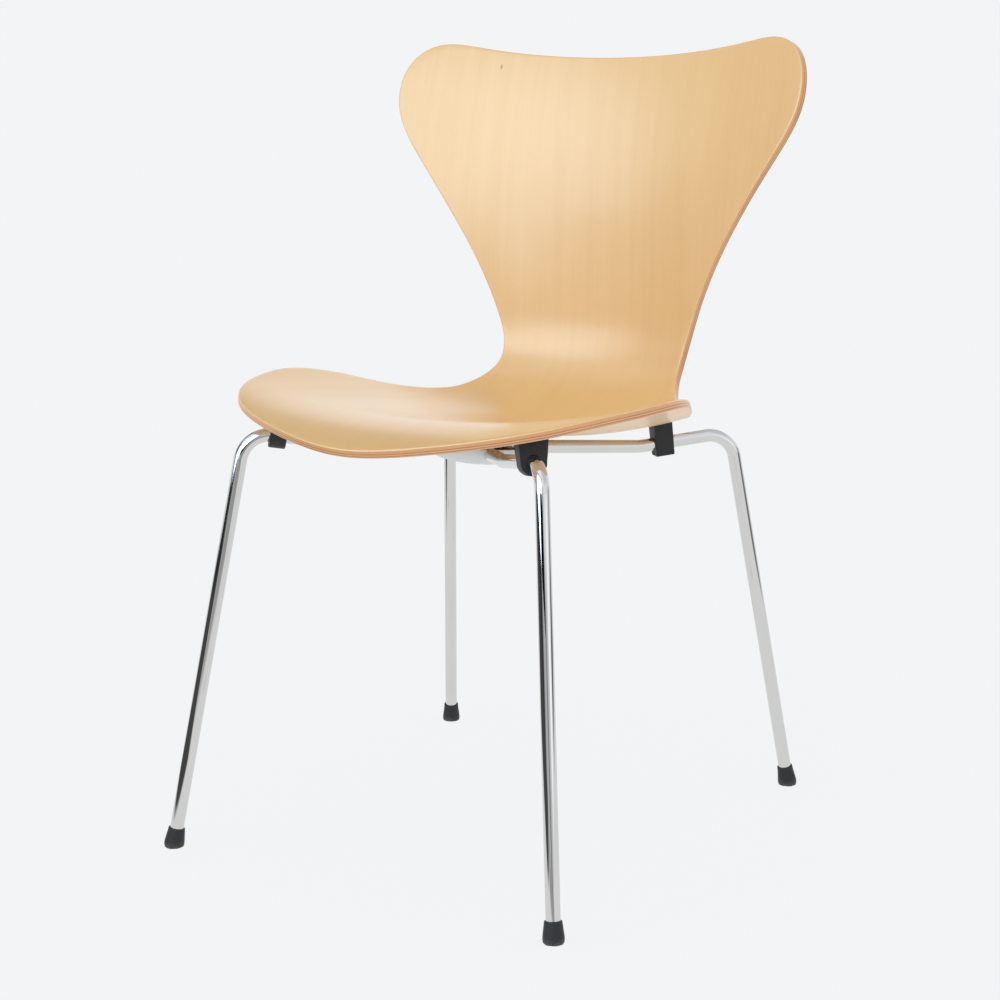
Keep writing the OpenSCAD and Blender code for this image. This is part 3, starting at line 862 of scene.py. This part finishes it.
def cover_profile():
    """The dish's whole half section, from the bottom of its axis round to the inside."""
    outer, inner = bowl_profile(0.0), bowl_profile(COVER_WALL)
    inner_r, inner_z = zip(*inner)
    core_r = COVER_RING_R - COVER_WALL
    rim = [(COVER_R - inwards, COVER_RIM_Z - down) for inwards, down in COVER_RIM]
    ring = [(COVER_RING_R, np.interp(COVER_RING_R, inner_r, inner_z)),
            (COVER_RING_R, -TUBE_R), (core_r, -TUBE_R),
            (core_r, np.interp(core_r, inner_r, inner_z))]
    around_ring = [p for p in reversed(inner) if p[0] > COVER_RING_R + 0.2]
    core = [p for p in reversed(inner) if p[0] < core_r - 0.2]
    return ([(0, -COVER_DEPTH)] + outer + rim + around_ring + ring + core
            + [(0, COVER_WALL - COVER_DEPTH)])


def lathe(profile, sides):
    """Closed solid turned about the z axis from an [r, z] outline that starts on it."""
    (_, first_z), between, (_, last_z) = profile[0], profile[1:-1], profile[-1]
    angles = 2 * math.pi * np.arange(sides) / sides
    points = [(0, 0, first_z), (0, 0, last_z)]
    for r, z in between:
        points += [(r * math.cos(a), r * math.sin(a), z) for a in angles]
    rings = [ring_numbers(i, sides, 2) for i in range(len(between))]
    faces = bands(rings)
    for k in range(sides):
        following = (k + 1) % sides
        faces.append((0, rings[0][following], rings[0][k]))
        faces.append((1, rings[-1][k], rings[-1][following]))
    return np.array(points), faces


def slot_cutter(start, stop):
    """A solid in the shape of a slot for one tube, with its faces pointing inwards."""
    way = unit(stop - start)
    x = unit(np.cross((0, 0, 1.0), way))
    y = np.cross(way, x)
    section = arc(SLOT_R, -180, 0, 32) + [(SLOT_R, SLOT_TOP), (-SLOT_R, SLOT_TOP)]
    points = [end + u * x + h * y for end in (start, stop) for u, h in section]
    near, far = ring_numbers(0, len(section)), ring_numbers(1, len(section))
    return plain_mesh("slot", points, band(far, near) + [near, far[::-1]])


def build_cover(material):
    """The dish on the hub's tilted axis.

    The cutters' faces point inwards, so their cuts leave the dish whole and each tube passes
    through its wall. This is a known fault: turned outwards, they would open the slots."""
    points, faces = lathe(cover_profile(), COVER_SIDES)
    tilt = np.array([[1, 0, 0], [0, math.cos(HUB_TILT), math.sin(HUB_TILT)],
                     [0, -math.sin(HUB_TILT), math.cos(HUB_TILT)]])
    points = points @ tilt.T + (0, HUB_Y, HUB_Z)
    piece = make_piece("dish_cover", points, faces, material)
    cutters = []
    for path in (FRONT_PATH, REAR_PATH):
        for start, stop in ((path[2], path[3]), (path[4], path[3])):
            cutters.append(slot_cutter(start, stop + SLOT_OVERLAP * unit(stop - start)))
            cut = piece.modifiers.new("slot", "BOOLEAN")
            cut.operation = "DIFFERENCE"
            cut.solver = "EXACT"
            cut.object = cutters[-1]
    bpy.context.view_layer.update()
    made = bpy.data.meshes.new_from_object(
        piece.evaluated_get(bpy.context.evaluated_depsgraph_get()))
    piece.modifiers.clear()
    piece.data = made
    made.name = "dish_cover"
    shade_smooth(made, 35)
    for cutter in cutters:
        bpy.data.objects.remove(cutter)
    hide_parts("base_cover")


# ---------------------------------------------------------------------------
# The pieces
# ---------------------------------------------------------------------------
veneer = veneer_material()
chrome = chrome_material()
bumper_black = plastic_material("bumper_black", srgb(17, 16, 16), srgb(25, 24, 23), 0.52, 0.25,
                                srgb(70, 68, 66))
foot_black = plastic_material("foot_black", srgb(17, 17, 17), srgb(26, 25, 25), 0.55, 0.3,
                              srgb(74, 72, 70), 0.5)
cover_grey = plastic_material("cover_grey", srgb(204, 206, 208), srgb(211, 213, 215), 0.42, 0.2,
                              srgb(226, 227, 228))
zinc = plated_material("zinc_steel", srgb(186, 188, 192), srgb(214, 216, 220), 0.34)
brass = plated_material("insert_brass", srgb(198, 160, 84), srgb(222, 186, 110), 0.32)
birch = pad_material()

build_shell(veneer)
build_tube("front_tube", FRONT_PATH, "front_leg_tube", chrome)
build_tube("rear_tube", REAR_PATH, "rear_leg_tube", chrome)
for end, foot, corner, height in (
    ("front", FRONT_FOOT, FRONT_CORNER, FRONT_FOOT_H),
    ("rear", REAR_FOOT, REAR_CORNER, REAR_FOOT_H),
):
    build_foot(f"ferrule_{end}_left", f"foot_{end}_left", foot, corner, height, foot_black)
    build_foot(f"ferrule_{end}_right", f"foot_{end}_right", mirror_x(foot), mirror_x(corner),
               height, foot_black)
for end, path, size, outline in (
    ("front", FRONT_PATH, FRONT_BUMPER, front_outline()),
    ("rear", REAR_PATH, REAR_BUMPER, rear_outline()),
):
    for hand, mirrored in (("left", False), ("right", True)):
        build_bumper(f"saddle_{end}_{hand}", f"bumper_{end}_{hand}", path, size, outline,
                     mirrored, bumper_black)
build_cover(cover_grey)

for node, material in (
    ("mounting_block", birch), ("threaded_inserts", brass), ("hub_plate", zinc),
    ("frame_screws", zinc), ("lock_washers", zinc), ("foot_discs", zinc),
):
    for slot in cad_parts[node].material_slots:
        slot.material = material

# ---------------------------------------------------------------------------
# Floor, light and camera, in metres. Directions are in degrees from +X, with
# +Y at 90 and the front at -90.
# ---------------------------------------------------------------------------
BACKDROP = srgb(242, 244, 245)
PAPER = (0.93, 0.94, 0.945, 1)
PAPER_SHARE = 0.05
FLOOR_HALF = 60.0
# Where the floor ends for polished pieces: the directions over which each gap fades in and
# out, the distances over which it deepens, and its depth.
FLOOR_GAPS = (
    ((-172, -164), (-86, -94), (0.56, 0.74), 1.0),
    ((-92, -84), (-36, -44), (0.7, 1.6), 0.6),
    ((12, 18), (54, 46), (1.7, 2.0), 0.85),
)
GAP_DARKNESS = 0.97
# What polished pieces mirror, as (direction, brightness), from the floor's edge up.
LOW_RING = (
    (-180, 0.90), (-157, 0.90), (-150, 0.03), (-104, 0.03), (-98, 0.42), (-80, 0.62),
    (-66, 0.60), (-62, 0.25), (-54, 0.25), (-48, 0.62), (-30, 0.80), (-14, 1.35), (8, 1.35),
    (16, 0.85), (36, 0.80), (41, 0.22), (50, 0.22), (56, 0.90), (90, 1.20), (120, 1.35),
    (150, 1.10))
HIGH_RING = (
    (-180, 0.22), (-130, 0.26), (-60, 0.60), (-34, 1.10), (40, 0.90), (60, 1.00),
    (100, 1.28), (140, 1.28), (160, 0.60))
OVERHEAD = (
    (-180, 1.00), (-50, 1.20), (0, 0.80), (90, 0.70), (121, 0.70), (128, 0.06), (172, 0.06))
# The heights in degrees over which the low ring gives way to the high one.
LOW_RING_TOP = (8.0, 10.5)
# The top of the high ring, in front of the chair and behind it.
HIGH_RING_TOPS = (34.0, 25.0)
# A ramp holds no more than 1, so brightness is divided by this in it and multiplied after.
RING_SCALE = 4.0
MIRRORED_TINT = (0.92, 0.955, 1.0, 1)
ROOM_LIGHT = 0.93

PANEL_LEFT, PANEL_RIGHT, PANEL_Y = -2.3, 1.2, -1.9
PANEL_LOW, PANEL_HIGH = 0.51, 3.4
PANEL_BLUE = (0.60, 0.79, 1.0, 1)
PANEL_STRENGTH = 4.8
KEY_PLACE, KEY_AIM, KEY_SIZE = (-1.9, -2.6, 1.7), (0, 0, 0.5), (2.4, 1.4)
KEY_POWER = 12.0
KEY_COLOUR = (0.84, 0.93, 1.0)

CAMERA_PLACE = (1.0869, -1.6852, 0.7334)
CAMERA_YAW, CAMERA_PITCH = math.radians(31.89), math.radians(10.63)
CAMERA_LENS, CAMERA_SENSOR = 70.41, 36.0
CAMERA_SHIFT = (-0.0247, -0.0127)


class Studio(Graph):
    """The node tree of the floor, the panel or the world, emptied first."""

    def __init__(self, owner):
        owner.use_nodes = True
        super().__init__(owner.node_tree)
        self.tree.nodes.clear()

    def compass(self, vector):
        """Direction in degrees from -180 to 180, and the vector's parts."""
        parts = self.add("SeparateXYZ", {0: vector}).outputs
        turn = self.math("ARCTAN2", parts["Y"], parts["X"])
        return self.times(turn, math.degrees(1)), parts

    def ring(self, turn, stops):
        """Brightness by direction."""
        colours = [((angle + 180) / 360, (*[level / RING_SCALE] * 3, 1))
                   for angle, level in stops]
        return self.times(self.ramp(self.span(turn, -180, 180), colours), RING_SCALE)

    def blend(self, share, base, over):
        """Two values mixed by a share."""
        return self.math("ADD", self.times(over, share),
                         self.times(base, self.math("SUBTRACT", 1.0, share)))


def build_floor():
    """Pale paper that glows in the backdrop's colour and takes a little light."""
    half = FLOOR_HALF / MM
    floor = plain_mesh("floor", [(-half, -half, 0), (half, -half, 0), (half, half, 0),
                                 (-half, half, 0)], [(0, 1, 2, 3)])
    material = bpy.data.materials.new("floor_paper")
    n = Studio(material)
    place = n.add("TexCoord").outputs["Object"]
    turn, _ = n.compass(place)
    away = n.add("VectorMath", {0: place}, operation="LENGTH").outputs["Value"]
    gap = 0.0
    for fade_in, fade_out, reach, depth in FLOOR_GAPS:
        sector = n.times(n.span(turn, *fade_in), n.span(turn, *fade_out))
        gap = n.math("MAXIMUM", gap, n.times(sector, n.span(away, *reach, 0.0, depth)))
    shiny = n.add("LightPath").outputs["Is Glossy Ray"]
    strength = n.math("SUBTRACT", 1.0, n.times(n.times(gap, GAP_DARKNESS), shiny))
    glow = n.add("Emission", {"Color": BACKDROP, "Strength": strength})
    paper = n.add("BsdfDiffuse", {"Color": PAPER})
    blend = n.add("MixShader", {0: PAPER_SHARE, 1: glow.outputs[0], 2: paper.outputs[0]})
    n.add("OutputMaterial", {0: blend.outputs[0]})
    floor.data.materials.append(material)


def build_world():
    """The backdrop for the camera, rings of light for polished pieces, white for the rest."""
    world = bpy.data.worlds.new("studio")
    bpy.context.scene.world = world
    n = Studio(world)
    turn, parts = n.compass(n.add("TexCoord").outputs["Generated"])
    height = n.times(n.math("ARCSINE", parts["Z"]), math.degrees(1))
    level = n.blend(n.span(height, *LOW_RING_TOP), n.ring(turn, LOW_RING),
                    n.ring(turn, HIGH_RING))
    ceiling = n.span(n.math("ABSOLUTE", turn), 115, 130, *HIGH_RING_TOPS)
    ceiling = n.span(turn, -1, 1, HIGH_RING_TOPS[0], ceiling)
    above = n.span(n.math("SUBTRACT", height, ceiling), -3.0, 3.0)
    level = n.blend(above, level, n.ring(turn, OVERHEAD))
    soft = n.add("Background", {"Color": (1.0, 1.0, 1.0, 1), "Strength": ROOM_LIGHT})
    mirrored = n.add("Background", {"Color": MIRRORED_TINT, "Strength": level})
    seen = n.add("Background", {"Color": BACKDROP})
    ray = n.add("LightPath").outputs
    lit = n.add("MixShader", {0: ray["Is Glossy Ray"], 1: soft.outputs[0], 2: mirrored.outputs[0]})
    final = n.add("MixShader", {0: ray["Is Camera Ray"], 1: lit.outputs[0], 2: seen.outputs[0]})
    n.add("OutputWorld", {0: final.outputs[0]})


def build_panel():
    """Glowing panel in front of the chair, mirrored by polished and lacquered pieces only."""
    corners = [(x / MM, PANEL_Y / MM, z / MM) for x, z in (
        (PANEL_LEFT, PANEL_LOW), (PANEL_RIGHT, PANEL_LOW), (PANEL_RIGHT, PANEL_HIGH),
        (PANEL_LEFT, PANEL_HIGH))]
    piece = plain_mesh("softbox", corners, [(0, 1, 2, 3)])
    material = bpy.data.materials.new("softbox_white")
    n = Studio(material)
    parts = n.add("SeparateXYZ", {0: n.add("TexCoord").outputs["Object"]}).outputs
    # Its lower right part is open, down to the floor, and its left and top ends fade out.
    raised = n.times(n.span(parts["Z"], 0.75, 0.95), n.span(parts["X"], PANEL_RIGHT, 0.6))
    fade = n.math("MAXIMUM", raised, n.span(parts["X"], 0.0, -0.1))
    fade = n.times(n.span(parts["X"], PANEL_LEFT, PANEL_LEFT + 1.2), fade)
    fade = n.times(fade, n.span(parts["Z"], PANEL_HIGH, PANEL_HIGH - 1.4))
    glow = n.add("Emission", {"Color": PANEL_BLUE, "Strength": n.times(fade, PANEL_STRENGTH)})
    n.add("OutputMaterial", {0: glow.outputs[0]})
    piece.data.materials.append(material)
    piece.visible_camera = False
    piece.visible_diffuse = False
    piece.visible_shadow = False


def build_key_light():
    """A soft lamp at the front left of the view, which shapes the shell and isn't mirrored."""
    light = bpy.data.lights.new("key", "AREA")
    light.shape = "RECTANGLE"
    light.size, light.size_y = KEY_SIZE
    light.energy = KEY_POWER
    light.color = KEY_COLOUR
    lamp = bpy.data.objects.new("key", light)
    bpy.context.scene.collection.objects.link(lamp)
    lamp.location = KEY_PLACE
    ahead = Vector(KEY_AIM) - Vector(KEY_PLACE)
    lamp.rotation_euler = ahead.to_track_quat("-Z", "Y").to_euler()
    lamp.visible_glossy = False


def build_camera():
    """The camera, level in roll, looking down by its pitch and left of +Y by its yaw."""
    ahead = Vector((-math.sin(CAMERA_YAW) * math.cos(CAMERA_PITCH),
                    math.cos(CAMERA_YAW) * math.cos(CAMERA_PITCH), -math.sin(CAMERA_PITCH)))
    right = Vector((math.cos(CAMERA_YAW), math.sin(CAMERA_YAW), 0))
    up = right.cross(ahead)
    data = bpy.data.cameras.new("camera")
    data.sensor_width = CAMERA_SENSOR
    data.lens = CAMERA_LENS
    data.shift_x, data.shift_y = CAMERA_SHIFT
    data.clip_end = 200.0
    camera = bpy.data.objects.new("camera", data)
    bpy.context.scene.collection.objects.link(camera)
    turn = Matrix((right, up, -ahead)).transposed().to_4x4()
    camera.matrix_world = Matrix.Translation(CAMERA_PLACE) @ turn
    bpy.context.scene.camera = camera


build_floor()
build_world()
build_panel()
build_key_light()
build_camera()
bpy.context.scene.view_settings.view_transform = "Standard"
